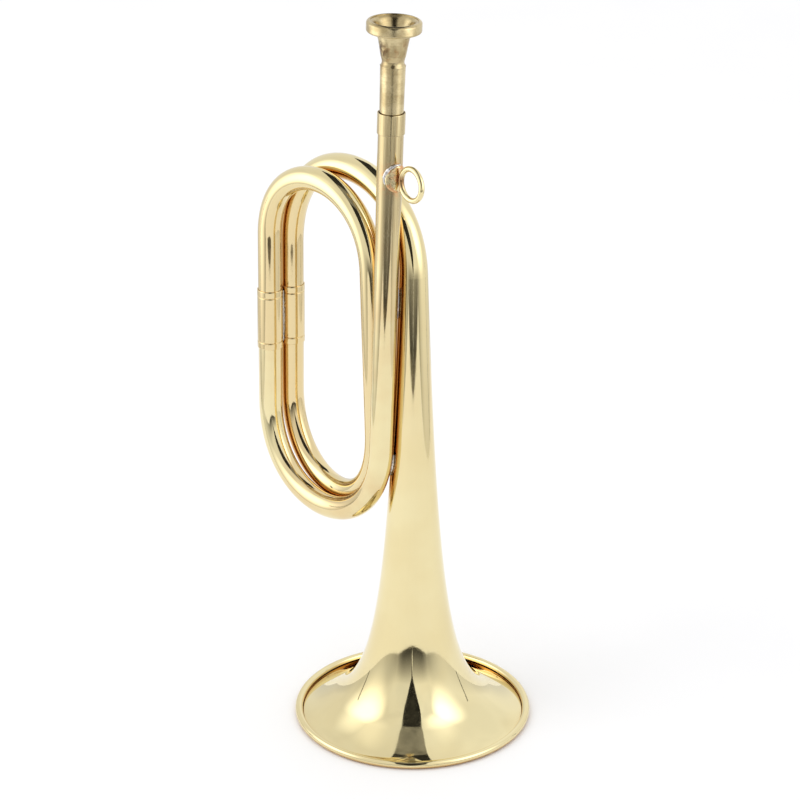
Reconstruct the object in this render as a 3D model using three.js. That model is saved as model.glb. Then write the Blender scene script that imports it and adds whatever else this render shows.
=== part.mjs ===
// A valveless, double-wound bugle standing upright on its bell. Millimetres, +Z up.
//
// The air runs from the mouthpiece down the leadpipe, round the front lower bow, up the front left
// leg, over the front upper bow, down the middle leg, round the back lower bow, up the back left leg,
// over the bell bow, and down through the bell. Each pair of tubes meets inside a ferrule half way up
// a left leg. The model is laid out from the bell's axis and is moved at the end, so that the middle
// of its footprint is at x = y = 0 and the rim stands on z = 0.
import * as THREE from "three";

// ---------------------------------------------------------------- driving dimensions

// Straight stretches of tube: where the centreline is at height z, and how far x moves for each mm up.
const LEGS = {
  leadpipe: { x: -15.8, y: -7.0, z: 165, lean: 0.0312 },
  middle: { x: -18.7, y: 5.4, z: 165, lean: -0.0243 },
  frontLeft: { x: -74.6, y: 53.5, z: 165, lean: 0.0125 },
  backLeft: { x: -63.5, y: 61.6, z: 165, lean: 0.0125 },
  bell: { x: 0, y: 0, z: 0, lean: 0 },
};

const TUBE_RADIUS = 6.05;
const TUBE_WALL = 0.5;
const FIT_GAP = 0.3;

// Bows: the heights where each leg starts to bend, and the reach of the bend's two handles.
const FRONT_LOWER_BOW = { from: "leadpipe", to: "frontLeft", zFrom: 155, zTo: 155.5, reach: [61, 62] };
const FRONT_UPPER_BOW = { from: "frontLeft", to: "middle", zFrom: 247, zTo: 245, reach: [51, 52] };
const BACK_LOWER_BOW = { from: "middle", to: "backLeft", zFrom: 158, zTo: 159, reach: [59.5, 57.5] };
const BELL_BOW = { from: "backLeft", to: "bell", zFrom: 240.5, zTo: 246, reach: [69, 57] };

const RECEIVER_MOUTH_Z = 331.4;
const RECEIVER_RADIUS = 6.85;
const RECEIVER_BORE = 6.25;
const RECEIVER_LENGTH = 10.5;
const RECEIVER_LAP = 2.2; // how far the receiver's skirt laps over the leadpipe
const LEADPIPE_MOUTH_RADIUS = 6.3; // the leadpipe is swaged out to take the mouthpiece
const LEADPIPE_MOUTH_WALL = 0.35;

const FERRULE_BOTTOM_Z = 185.5;
const FERRULE_LENGTH = 32;
const FERRULE_RADIUS = 6.62;
const FERRULE_BAND = 3.8; // height of the raised band at each end
const FERRULE_GROOVE = 0.4;
const FERRULE_JOINT_Z = FERRULE_BOTTOM_Z + FERRULE_LENGTH / 2;

const BELL_TAIL_Z = 246; // where the bell meets the bell bow
const BELL_FLARE_Z = 10; // where the horn curve gives way to the flat end of the flare
const BELL_GROOVE = { r: 57.8, z: 1.3 }; // where the flare tucks under the rolled bead
const BEAD_RING_RADIUS = 60;
const BEAD_RADIUS = 2.0;
const SHEET = 0.45;
const RIM_WIRE_RADIUS = 1.1;

const MOUTHPIECE_RIM_RADIUS = 13.35;
const MOUTHPIECE_HEIGHT = 45.1; // from the receiver's mouth to the top of the rim
const MOUTHPIECE_INSERT = 23; // length of shank inside the receiver

const SADDLE_Z = 299.5;
const SADDLE_AZIMUTH = (-51 * Math.PI) / 180; // the strap ring points away from the loop
const SADDLE_DISC_RADIUS = 6.8;
const SADDLE_THICKNESS = 0.7;
const RING_RADIUS = 7.75; // to the middle of the ring's wire
const RING_WIRE_RADIUS = 1.45;

const SOLDER_RADIUS = 0.7;

const TUBE_SIDES = 16;
const BELL_SIDES = 36;
const MOUTHPIECE_SIDES = 24;
const FERRULE_SIDES = 20;

// ---------------------------------------------------------------- finishes

const lacqueredBrass = new THREE.MeshStandardMaterial({ color: 0xe3c46e, roughness: 0.12, metalness: 1 });
const turnedBrass = new THREE.MeshStandardMaterial({ color: 0xcdb37a, roughness: 0.25, metalness: 1 });
const leadpipeBrass = new THREE.MeshStandardMaterial({ color: 0xd8bc78, roughness: 0.18, metalness: 1 });
const brazedBrass = new THREE.MeshStandardMaterial({ color: 0xc48a52, roughness: 0.35, metalness: 1 });
const silverSolder = new THREE.MeshStandardMaterial({ color: 0xb9bcc4, roughness: 0.3, metalness: 1 });

// ---------------------------------------------------------------- centrelines

function legPoint(name, z) {
  const leg = LEGS[name];
  return new THREE.Vector3(leg.x + leg.lean * (z - leg.z), leg.y, z);
}

function legDirection(name) {
  return new THREE.Vector3(LEGS[name].lean, 0, 1).normalize();
}

// A U-bend between two legs: up over the top for side +1, down under the bottom for side -1.
function bowCurve(bow, side) {
  const start = legPoint(bow.from, bow.zFrom);
  const end = legPoint(bow.to, bow.zTo);
  const startHandle = start.clone().addScaledVector(legDirection(bow.from), side * bow.reach[0]);
  const endHandle = end.clone().addScaledVector(legDirection(bow.to), side * bow.reach[1]);
  return new THREE.CubicBezierCurve3(start, startHandle, endHandle, end);
}

function straight(name, zFrom, zTo) {
  return new THREE.LineCurve3(legPoint(name, zFrom), legPoint(name, zTo));
}

// Cross-sections along a chain of curves, each given as [curve, number of steps].
function stationsAlong(chain) {
  const stations = [];
  let travelled = 0;
  chain.forEach(([curve, steps], index) => {
    for (let i = index === 0 ? 0 : 1; i <= steps; i++) {
      const t = i / steps;
      const point = curve.getPoint(t);
      if (stations.length > 0) travelled += point.distanceTo(stations.at(-1).point);
      stations.push({ point, tangent: curve.getTangent(t).normalize(), travelled });
    }
  });
  return stations;
}

// The curve's point at height z, on the half that starts at t = low and ends at t = high.
function pointAtHeight(curve, z, low, high) {
  const rising = curve.getPoint(high).z > curve.getPoint(low).z;
  for (let i = 0; i < 40; i++) {
    const middle = (low + high) / 2;
    if (curve.getPoint(middle).z < z === rising) low = middle;
    else high = middle;
  }
  return curve.getPoint((low + high) / 2);
}

// ---------------------------------------------------------------- solids

// One closed skin from rings of points that all have the same count. When closed is true the last
// ring joins the first, as in a tube with a bore; otherwise the two end rings are capped.
function skinOfRings(rings, closed) {
  const sides = rings[0].length;
  const positions = rings.flat().flatMap((p) => [p.x, p.y, p.z]);
  const index = [];
  const lastRing = closed ? rings.length : rings.length - 1;
  for (let i = 0; i < lastRing; i++) {
    const a = i * sides;
    const b = ((i + 1) % rings.length) * sides;
    for (let k = 0; k < sides; k++) {
      const next = (k + 1) % sides;
      index.push(a + k, a + next, b + k, a + next, b + next, b + k);
    }
  }
  if (!closed) {
    const end = (rings.length - 1) * sides;
    for (let k = 1; k < sides - 1; k++) {
      index.push(0, k + 1, k);
      index.push(end, end + k, end + k + 1);
    }
  }
  const geometry = new THREE.BufferGeometry();
  geometry.setAttribute("position", new THREE.Float32BufferAttribute(positions, 3));
  geometry.setIndex(index);
  return geometry;
}

function ringAround(station, radius, across, sides) {
  const along = station.tangent;
  const right = across.clone().addScaledVector(along, -across.dot(along)).normalize();
  const up = new THREE.Vector3().crossVectors(along, right);
  const ring = [];
  for (let k = 0; k < sides; k++) {
    const angle = (2 * Math.PI * k) / sides;
    const offset = right.clone().multiplyScalar(radius * Math.cos(angle));
    offset.addScaledVector(up, radius * Math.sin(angle));
    ring.push(station.point.clone().add(offset));
  }
  return ring;
}

// A tube open at both ends. The bends lie in upright planes, so the direction across the plane
// serves as a reference for every ring and the tube never twists.
function openTube(stations, outerAt, wallAt, across) {
  const outer = stations.map((s) => ringAround(s, outerAt(s), across, TUBE_SIDES));
  const inner = stations.map((s) => ringAround(s, outerAt(s) - wallAt(s), across, TUBE_SIDES));
  return skinOfRings([...outer, ...inner.reverse()], true);
}

// A solid rod through points, thinner towards both ends, for a run of solder.
function taperedRod(points, radius, sides) {
  const curve = new THREE.CatmullRomCurve3(points);
  const steps = 2 * (points.length - 1);
  const across = new THREE.Vector3(0.4, 0.9, 0.2);
  const rings = stationsAlong([[curve, steps]]).map((station, i) => {
    const swell = 0.35 + 0.65 * Math.sin((Math.PI * i) / steps);
    return ringAround(station, radius * swell, across, sides);
  });
  return skinOfRings(rings, false);
}

// A closed section of [radius, height] points, turned about Z.
function turned(section, sides) {
  const points = section.map(([r, z]) => new THREE.Vector2(r, z));
  points.push(points[0].clone());
  const geometry = new THREE.LatheGeometry(points, sides);
  geometry.rotateX(Math.PI / 2); // the lathe turns about Y
  return geometry;
}

function acrossBow(bow) {
  const run = legPoint(bow.to, 200).sub(legPoint(bow.from, 200));
  return new THREE.Vector3(-run.y, run.x, 0).normalize();
}

const bugle = new THREE.Group();

function add(name, geometry, material, parent = bugle) {
  const mesh = new THREE.Mesh(geometry, material);
  mesh.name = name;
  parent.add(mesh);
  return mesh;
}

// A group whose Z axis runs up a leg, with its origin on the leg's centreline at height z.
function groupOnLeg(name, z) {
  const group = new THREE.Group();
  group.position.copy(legPoint(name, z));
  group.quaternion.setFromUnitVectors(new THREE.Vector3(0, 0, 1), legDirection(name));
  bugle.add(group);
  return group;
}

// ---------------------------------------------------------------- bell

// The horn's outer radius falls off as a small negative power of height above the rim.
function hornRadius(z) {
  return 111.5 * z ** -0.22 - 25.9;
}

function hornSlope(z) {
  return -24.53 * z ** -1.22;
}

// Outer points of the bell from tail to groove, each with its outward normal in [radius, height].
function bellOutline() {
  const outline = [];
  const hornSteps = 10;
  for (let i = 0; i <= hornSteps; i++) {
    const share = i / hornSteps;
    const z = (BELL_TAIL_Z - FIT_GAP) ** (1 - share) * BELL_FLARE_Z ** share;
    const length = Math.hypot(1, hornSlope(z));
    outline.push({ r: hornRadius(z), z, nr: 1 / length, nz: -hornSlope(z) / length });
  }
  const start = new THREE.Vector2(hornRadius(BELL_FLARE_Z), BELL_FLARE_Z);
  const bend = new THREE.Vector2(52.6, 2.34);
  const end = new THREE.Vector2(BELL_GROOVE.r, BELL_GROOVE.z);
  const flare = new THREE.QuadraticBezierCurve(start, bend, end);
  const flareSteps = 4;
  for (let i = 1; i <= flareSteps; i++) {
    const p = flare.getPoint(i / flareSteps);
    const t = flare.getTangent(i / flareSteps);
    outline.push({ r: p.x, z: p.y, nr: -t.y, nz: t.x });
  }
  return outline;
}

// An arc of the rolled bead's section, from one angle to another, in degrees from outward.
function beadArc(radius, fromDegrees, toDegrees, steps) {
  const arc = [];
  for (let i = 0; i <= steps; i++) {
    const angle = ((fromDegrees + ((toDegrees - fromDegrees) * i) / steps) * Math.PI) / 180;
    arc.push([BEAD_RING_RADIUS + radius * Math.cos(angle), BEAD_RADIUS + radius * Math.sin(angle)]);
  }
  return arc;
}

function makeBell() {
  const outline = bellOutline();
  const outside = outline.map((p) => [p.r, p.z]);
  const inside = outline.map((p) => [p.r - SHEET * p.nr, p.z - SHEET * p.nz]);
  // The sheet runs under the bead, up round the outside and over the top, and leaves a slit.
  const curlInner = beadArc(BEAD_RADIUS - SHEET, -112, 180, 8);
  const curlOuter = beadArc(BEAD_RADIUS, 180, -75, 9);
  const foot = beadArc(BEAD_RADIUS, -75, -105, 1).map(([r]) => [r, 0]);
  const section = [...outside, ...curlInner, ...curlOuter.slice(0, -1), ...foot, ...inside.reverse()];
  add("bell", turned(section.reverse(), BELL_SIDES), lacqueredBrass);
  const wire = new THREE.TorusGeometry(BEAD_RING_RADIUS, RIM_WIRE_RADIUS, 6, BELL_SIDES);
  add("rim_wire", wire, leadpipeBrass).position.z = BEAD_RADIUS;
}

// ---------------------------------------------------------------- tubes

const plainWall = () => TUBE_WALL;
const plainRadius = () => TUBE_RADIUS;

function makeLeadpipe() {
  const top = RECEIVER_MOUTH_Z - RECEIVER_LENGTH + RECEIVER_LAP - FIT_GAP;
  const swageEnd = 268;
  const bow = bowCurve(FRONT_LOWER_BOW, -1);
  const stations = stationsAlong([
    [straight("leadpipe", top, swageEnd), 3],
    [straight("leadpipe", swageEnd, FRONT_LOWER_BOW.zFrom), 1],
    [bow, 18],
    [straight("frontLeft", FRONT_LOWER_BOW.zTo, FERRULE_JOINT_Z - FIT_GAP), 1],
  ]);
  const swage = (s) => Math.max(0, 1 - s.travelled / (top - swageEnd));
  const radius = (s) => TUBE_RADIUS + (LEADPIPE_MOUTH_RADIUS - TUBE_RADIUS) * Math.min(1, 2 * swage(s));
  const wall = (s) => TUBE_WALL + (LEADPIPE_MOUTH_WALL - TUBE_WALL) * swage(s);
  add("leadpipe", openTube(stations, radius, wall, acrossBow(FRONT_LOWER_BOW)), leadpipeBrass);
}

function makeMiddleTube() {
  const stations = stationsAlong([
    [straight("frontLeft", FERRULE_JOINT_Z + FIT_GAP, FRONT_UPPER_BOW.zFrom), 1],
    [bowCurve(FRONT_UPPER_BOW, 1), 16],
    [straight("middle", FRONT_UPPER_BOW.zTo, BACK_LOWER_BOW.zFrom), 1],
    [bowCurve(BACK_LOWER_BOW, -1), 16],
    [straight("backLeft", BACK_LOWER_BOW.zTo, FERRULE_JOINT_Z - FIT_GAP), 1],
  ]);
  add("middle_tube", openTube(stations, plainRadius, plainWall, acrossBow(FRONT_UPPER_BOW)), lacqueredBrass);
}

function makeBellBow() {
  const stations = stationsAlong([
    [straight("backLeft", FERRULE_JOINT_Z + FIT_GAP, BELL_BOW.zFrom), 1],
    [bowCurve(BELL_BOW, 1), 20],
  ]);
  const bendStart = BELL_BOW.zFrom - FERRULE_JOINT_Z;
  const bendLength = stations.at(-1).travelled - bendStart;
  const grown = (s) => Math.max(0, s.travelled - bendStart) / bendLength;
  const radius = (s) => TUBE_RADIUS + (hornRadius(BELL_TAIL_Z) - TUBE_RADIUS) * grown(s);
  add("bell_bow", openTube(stations, radius, plainWall, acrossBow(BELL_BOW)), lacqueredBrass);
}

// A sleeve with a raised band at each end, set off by a fine groove.
function makeFerrule(name, leg) {
  const bore = TUBE_RADIUS + FIT_GAP;
  const body = FERRULE_RADIUS - 0.05;
  const groove = FERRULE_RADIUS - 0.17;
  const low = FERRULE_BAND;
  const high = FERRULE_LENGTH - FERRULE_BAND;
  const section = [
    [bore, 0],
    [FERRULE_RADIUS, 0],
    [FERRULE_RADIUS, low - FERRULE_GROOVE],
    [groove, low - FERRULE_GROOVE / 2],
    [body, low],
    [body, high],
    [groove, high + FERRULE_GROOVE / 2],
    [FERRULE_RADIUS, high + FERRULE_GROOVE],
    [FERRULE_RADIUS, FERRULE_LENGTH],
    [bore, FERRULE_LENGTH],
  ];
  add(name, turned(section, FERRULE_SIDES), lacqueredBrass, groupOnLeg(leg, FERRULE_BOTTOM_Z));
}

// ---------------------------------------------------------------- mouthpiece and receiver

function makeReceiver() {
  const skirt = LEADPIPE_MOUTH_RADIUS + FIT_GAP;
  const step = RECEIVER_LAP - RECEIVER_LENGTH;
  const section = [
    [skirt, -RECEIVER_LENGTH],
    [RECEIVER_RADIUS, -RECEIVER_LENGTH],
    [RECEIVER_RADIUS, -0.3],
    [RECEIVER_RADIUS - 0.3, 0],
    [RECEIVER_BORE, 0],
    [RECEIVER_BORE, step],
    [skirt, step],
  ];
  const place = groupOnLeg("leadpipe", RECEIVER_MOUTH_Z);
  add("mouthpiece_receiver", turned(section, MOUTHPIECE_SIDES), leadpipeBrass, place);
}

// Heights are above the receiver's mouth.
function makeMouthpiece() {
  const top = MOUTHPIECE_HEIGHT;
  const outside = [
    [5.25, -MOUTHPIECE_INSERT],
    [5.85, 0],
    [6.15, 22.4],
    [6.2, 23.2], // collar
    [5.45, 24.6], // neck
    [5.5, 25.6],
    [6.1, 28.0],
    [6.7, 31.2],
    [7.3, 34.6],
    [8.1, 38.0],
    [8.6, 39.3],
    [12.5, 39.4], // underside of the rim
    [13.2, 39.7],
    [MOUTHPIECE_RIM_RADIUS, 40.3],
    [MOUTHPIECE_RIM_RADIUS, top - 0.9],
    [13.1, top - 0.3],
    [12.3, top],
    [11.4, top],
  ];
  const inside = [
    [10.5, top - 0.4],
    [9.5, top - 1.7],
    [8.5, 41.0],
    [7.1, 38.0],
    [5.2, 35.0],
    [3.2, 32.4],
    [1.95, 30.4], // throat
    [1.95, 27.0],
    [3.9, -MOUTHPIECE_INSERT], // end of the backbore
  ];
  const place = groupOnLeg("leadpipe", RECEIVER_MOUTH_Z);
  add("mouthpiece", turned([...outside, ...inside], MOUTHPIECE_SIDES), turnedBrass, place);
}

// ---------------------------------------------------------------- strap ring

// A point on the leadpipe's wall, at a distance from its axis, beside the saddle's centre.
function onPipe(distance, arc, height) {
  const angle = SADDLE_AZIMUTH + arc / (LEADPIPE_MOUTH_RADIUS + FIT_GAP);
  return new THREE.Vector3(distance * Math.cos(angle), distance * Math.sin(angle), height);
}

function discRing(distance, radius, sides) {
  const ring = [];
  for (let k = 0; k < sides; k++) {
    const angle = (2 * Math.PI * k) / sides;
    ring.push(onPipe(distance, radius * Math.cos(angle), radius * Math.sin(angle)));
  }
  return ring;
}

// A round disc wrapped round the pipe.
function saddleGeometry() {
  const sides = 20;
  const inner = LEADPIPE_MOUTH_RADIUS + FIT_GAP;
  const outer = inner + SADDLE_THICKNESS;
  const radii = [1, 0.6, 0.2].map((share) => share * SADDLE_DISC_RADIUS);
  const under = radii.map((r) => discRing(inner, r, sides)).reverse();
  const over = radii.map((r) => discRing(outer, r, sides));
  return skinOfRings([...under, ...over], false);
}

function makeStrapRing() {
  const place = groupOnLeg("leadpipe", SADDLE_Z);
  add("ring_saddle", saddleGeometry(), brazedBrass, place);

  const reach = LEADPIPE_MOUTH_RADIUS + FIT_GAP + SADDLE_THICKNESS + FIT_GAP + RING_RADIUS + RING_WIRE_RADIUS;
  const swing = new THREE.Group();
  swing.rotation.z = SADDLE_AZIMUTH;
  place.add(swing);
  const ring = add(
    "strap_ring",
    new THREE.TorusGeometry(RING_RADIUS, RING_WIRE_RADIUS, 10, 28),
    lacqueredBrass,
    swing,
  );
  ring.rotation.x = Math.PI / 2;
  ring.position.x = reach;

  const beadReach = SADDLE_DISC_RADIUS + FIT_GAP + SOLDER_RADIUS;
  const beadDistance = LEADPIPE_MOUTH_RADIUS + FIT_GAP + SOLDER_RADIUS;
  const points = [90, 115, 140, 165, 190].map((degrees) => {
    const angle = (degrees * Math.PI) / 180;
    return onPipe(beadDistance, beadReach * Math.cos(angle), beadReach * Math.sin(angle));
  });
  add("ring_solder", taperedRod(points, SOLDER_RADIUS, 8), silverSolder, place);
}

// ---------------------------------------------------------------- soldered joints

// The plan position of a round fillet lying in the crevice between two round tubes, on one side.
function creviceSeat(a, radiusA, b, radiusB, side) {
  const reachA = radiusA + FIT_GAP + SOLDER_RADIUS;
  const reachB = radiusB + FIT_GAP + SOLDER_RADIUS;
  const run = new THREE.Vector3(b.x - a.x, b.y - a.y, 0);
  const distance = run.length();
  run.normalize();
  const along = (reachA ** 2 - reachB ** 2 + distance ** 2) / (2 * distance);
  const off = side * Math.sqrt(reachA ** 2 - along ** 2);
  return new THREE.Vector3(a.x + run.x * along - run.y * off, a.y + run.y * along + run.x * off, a.z);
}

function spread(from, to, count) {
  return Array.from({ length: count }, (_, i) => from + ((to - from) * i) / (count - 1));
}

function makeSolderedJoints() {
  const ferrulePoints = spread(FERRULE_BOTTOM_Z + 2, FERRULE_BOTTOM_Z + FERRULE_LENGTH - 2, 3).map((z) =>
    creviceSeat(legPoint("frontLeft", z), FERRULE_RADIUS, legPoint("backLeft", z), FERRULE_RADIUS, -1),
  );
  add("ferrule_solder", taperedRod(ferrulePoints, SOLDER_RADIUS, 8), silverSolder);

  const lowerBow = bowCurve(FRONT_LOWER_BOW, -1);
  const bellPoints = spread(139, 150, 3).map((z) =>
    creviceSeat(pointAtHeight(lowerBow, z, 0, 0.4), TUBE_RADIUS, legPoint("bell", z), hornRadius(z), -1),
  );
  add("bell_joint_solder", taperedRod(bellPoints, SOLDER_RADIUS, 8), silverSolder);

  const tailPoints = spread(225, 239, 3).map((z) =>
    creviceSeat(legPoint("leadpipe", z), TUBE_RADIUS, legPoint("bell", z), hornRadius(z), 1),
  );
  add("upper_joint_solder", taperedRod(tailPoints, SOLDER_RADIUS, 8), silverSolder);
}

// ---------------------------------------------------------------- assembly

makeMouthpiece();
makeReceiver();
makeLeadpipe();
makeMiddleTube();
makeBellBow();
makeBell();
makeFerrule("front_ferrule", "frontLeft");
makeFerrule("back_ferrule", "backLeft");
makeStrapRing();
makeSolderedJoints();

// The origin goes to the middle of the footprint, at the foot of the rim.
bugle.updateMatrixWorld(true);
const box = new THREE.Box3().setFromObject(bugle, true);
const middle = box.getCenter(new THREE.Vector3());
const placed = new THREE.Group();
bugle.position.set(-middle.x, -middle.y, -box.min.z);
placed.add(bugle);

export default placed;
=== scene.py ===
"""A valveless double-wound brass bugle standing on its bell: camera, light, meshes and materials.

Lengths are in millimetres, laid out from the bell's axis as in the solid model, and are turned into
metres in the part's frame as each mesh is made.
"""
import math

import bmesh
import bpy
from mathutils import Matrix, Vector, noise


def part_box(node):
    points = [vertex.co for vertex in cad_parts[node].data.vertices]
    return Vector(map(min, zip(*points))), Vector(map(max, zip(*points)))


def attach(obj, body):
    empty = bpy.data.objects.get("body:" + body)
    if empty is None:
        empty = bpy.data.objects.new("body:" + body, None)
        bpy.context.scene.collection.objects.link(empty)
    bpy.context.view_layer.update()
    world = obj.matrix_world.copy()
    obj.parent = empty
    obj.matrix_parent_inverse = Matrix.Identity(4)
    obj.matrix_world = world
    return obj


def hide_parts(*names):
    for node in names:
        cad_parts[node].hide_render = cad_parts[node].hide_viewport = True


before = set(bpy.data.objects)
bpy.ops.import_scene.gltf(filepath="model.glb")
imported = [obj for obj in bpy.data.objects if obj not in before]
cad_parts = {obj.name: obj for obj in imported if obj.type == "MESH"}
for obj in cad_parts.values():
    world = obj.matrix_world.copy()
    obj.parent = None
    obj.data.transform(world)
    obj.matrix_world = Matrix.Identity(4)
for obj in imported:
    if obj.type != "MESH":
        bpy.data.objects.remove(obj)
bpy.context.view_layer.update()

# ---------------------------------------------------------------- dimensions, as in the solid model

MM = 0.001

LEGS = {
    "leadpipe": {"x": -15.8, "y": -7.0, "z": 165.0, "lean": 0.0312},
    "middle": {"x": -18.7, "y": 5.4, "z": 165.0, "lean": -0.0243},
    "front_left": {"x": -74.6, "y": 53.5, "z": 165.0, "lean": 0.0125},
    "back_left": {"x": -63.5, "y": 61.6, "z": 165.0, "lean": 0.0125},
    "bell": {"x": 0.0, "y": 0.0, "z": 0.0, "lean": 0.0},
}

TUBE_RADIUS = 6.05
TUBE_WALL = 0.5
TUBE_SIDES = 56

# from leg, to leg, height it leaves, height it arrives, reach of the two handles, up or down
BOWS = {
    "front_lower": ("leadpipe", "front_left", 155.0, 155.5, 61.0, 62.0, -1),
    "front_upper": ("front_left", "middle", 247.0, 245.0, 51.0, 52.0, 1),
    "back_lower": ("middle", "back_left", 158.0, 159.0, 59.5, 57.5, -1),
    "bell": ("back_left", "bell", 240.5, 246.0, 69.0, 57.0, 1),
}

RECEIVER_MOUTH_Z = 331.4
RECEIVER_LENGTH = 10.5
RECEIVER_RADIUS = 6.85
RECEIVER_BORE = 6.25
LEADPIPE_MOUTH_RADIUS = 6.3
SWAGE_END_Z = 268.0

FERRULE_BOTTOM_Z = 185.5
FERRULE_LENGTH = 32.0
FERRULE_RADIUS = 6.6
FERRULE_BAND = 3.8
FERRULE_JOINT_Z = FERRULE_BOTTOM_Z + FERRULE_LENGTH / 2

BELL_TAIL_Z = 246.0
BELL_FLARE_Z = 10.0
BELL_GROOVE = (57.8, 1.3)
BEAD_RING_RADIUS = 60.0
BEAD_RADIUS = 1.96
CURL_RADIUS = 2.0  # of the sheet's curl round the wire, and the height of the curl's centre
RIM_WIRE_RADIUS = 1.15
SHEET = 0.45

SADDLE_Z = 299.5
SADDLE_AZIMUTH = math.radians(-51)
SADDLE_RADIUS = 6.8
RING_RADIUS = 7.75
RING_WIRE = 1.44
RING_REACH = 16.75

# Corners that turn by more than this are left sharp.
SHARP_ANGLE = math.radians(38)

# ---------------------------------------------------------------- placing

bell_low, bell_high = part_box("bell")
BELL_X = (bell_low[0] + bell_high[0]) / 2
BELL_Y = (bell_low[1] + bell_high[1]) / 2


def metres(point):
    """A point in millimetres from the foot of the bell's axis, as metres in the part's frame."""
    return Vector((point[0] * MM + BELL_X, point[1] * MM + BELL_Y, point[2] * MM))


def leg_point(name, z):
    """The point of a leg's centreline at height z."""
    leg = LEGS[name]
    return Vector((leg["x"] + leg["lean"] * (z - leg["z"]), leg["y"], z))


def leg_direction(name):
    return Vector((LEGS[name]["lean"], 0, 1)).normalized()


def on_leg(name, z):
    """A matrix whose Z runs up the leg, with its origin on the leg's centreline at height z."""
    turn = Vector((0, 0, 1)).rotation_difference(leg_direction(name)).to_matrix().to_4x4()
    return Matrix.Translation(leg_point(name, z)) @ turn


def beside_saddle(distance):
    """The point at a distance from the leadpipe's axis, out through the middle of the saddle."""
    turn = Matrix.Rotation(SADDLE_AZIMUTH, 4, "Z")
    return on_leg("leadpipe", SADDLE_Z) @ turn @ Vector((distance, 0, 0))


def over_receiver(x, y, z):
    """A point measured from the middle of the receiver's mouth, with z along the leadpipe."""
    return on_leg("leadpipe", RECEIVER_MOUTH_Z) @ Vector((x, y, z))


# ---------------------------------------------------------------- camera

FOCAL_PIXELS = 2655.0
PICTURE_PIXELS = 800.0
SENSOR_WIDTH = 36.0
CAMERA_POINT = (0.0, -1222.0, 714.0)
CAMERA_PITCH = math.radians(23.67)
CAMERA_YAW = math.radians(-0.31)


def add_camera():
    """The camera, level side to side and tipped down at the bugle."""
    data = bpy.data.cameras.new("camera")
    data.sensor_width = SENSOR_WIDTH
    data.lens = FOCAL_PIXELS / PICTURE_PIXELS * SENSOR_WIDTH
    camera = bpy.data.objects.new("camera", data)
    bpy.context.scene.collection.objects.link(camera)
    forward = Vector(
        (
            math.sin(CAMERA_YAW) * math.cos(CAMERA_PITCH),
            math.cos(CAMERA_YAW) * math.cos(CAMERA_PITCH),
            -math.sin(CAMERA_PITCH),
        )
    )
    camera.location = metres(CAMERA_POINT)
    camera.rotation_mode = "QUATERNION"
    camera.rotation_quaternion = forward.to_track_quat("-Z", "Y")
    bpy.context.scene.camera = camera


# ---------------------------------------------------------------- mesh building


def link_mesh(name, vertices, faces, uvs, material):
    """A smooth-shaded mesh object. uvs has one pair for each face corner, in order."""
    mesh = bpy.data.meshes.new(name)
    mesh.from_pydata(vertices, [], faces)
    layer = mesh.uv_layers.new(name="UVMap")
    for loop, uv in zip(layer.data, uvs):
        loop.uv = uv
    body = bmesh.new()
    body.from_mesh(mesh)
    bmesh.ops.recalc_face_normals(body, faces=body.faces)
    body.to_mesh(mesh)
    body.free()
    mesh.polygons.foreach_set("use_smooth", [True] * len(mesh.polygons))
    mesh.set_sharp_from_angle(angle=SHARP_ANGLE)
    mesh.materials.append(material)
    thing = bpy.data.objects.new(name, mesh)
    bpy.context.scene.collection.objects.link(thing)
    return thing


def skin(name, rings, lengths, material, closed):
    """One closed skin through rings of points. lengths gives each ring's distance along, for UVs."""
    sides = len(rings[0])
    vertices = [metres(point) for ring in rings for point in ring]
    faces = []
    uvs = []
    count = len(rings)
    for i in range(count if closed else count - 1):
        j = (i + 1) % count
        for k in range(sides):
            n = (k + 1) % sides
            faces.append((i * sides + k, i * sides + n, j * sides + n, j * sides + k))
            left, right = k / sides, (k + 1) / sides
            low, high = lengths[i], lengths[j]
            uvs.extend([(left, low), (right, low), (right, high), (left, high)])
    if not closed:
        faces.append(tuple(reversed(range(sides))))
        faces.append(tuple((count - 1) * sides + k for k in range(sides)))
        uvs.extend([(0.0, lengths[0])] * sides + [(0.0, lengths[-1])] * sides)
    return link_mesh(name, vertices, faces, uvs, material)


def ring_around(point, tangent, radius, across, sides):
    """A ring of points square to tangent. Its first point lies towards across."""
    right = (across - tangent * across.dot(tangent)).normalized()
    up = tangent.cross(right)
    angles = [2 * math.pi * k / sides for k in range(sides)]
    return [point + right * (radius * math.cos(a)) + up * (radius * math.sin(a)) for a in angles]


def bezier(name, t):
    """The point and unit tangent of a bow's centreline."""
    start_leg, end_leg, z0, z1, reach0, reach1, side = BOWS[name]
    p0 = leg_point(start_leg, z0)
    p3 = leg_point(end_leg, z1)
    p1 = p0 + leg_direction(start_leg) * (side * reach0)
    p2 = p3 + leg_direction(end_leg) * (side * reach1)
    s = 1 - t
    point = p0 * s**3 + p1 * (3 * s * s * t) + p2 * (3 * s * t * t) + p3 * t**3
    tangent = (p1 - p0) * (s * s) + (p2 - p1) * (2 * s * t) + (p3 - p2) * (t * t)
    return point, tangent.normalized()


def stretch(name, z_from, z_to, steps):
    """Stations on a straight leg."""
    direction = leg_direction(name) * (1 if z_to > z_from else -1)
    heights = [z_from + (z_to - z_from) * i / steps for i in range(steps + 1)]
    return [(leg_point(name, z), direction) for z in heights]


def bend(name, steps):
    """Stations round a bow."""
    return [bezier(name, i / steps) for i in range(steps + 1)]


def join(*runs):
    """Runs of stations end to end, each as (point, tangent, distance travelled)."""
    stations = []
    travelled = 0.0
    for run in runs:
        for point, tangent in run:
            if stations:
                step = (point - stations[-1][0]).length
                if step < 1e-6:
                    continue
                travelled += step
            stations.append((point, tangent, travelled))
    return stations


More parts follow.
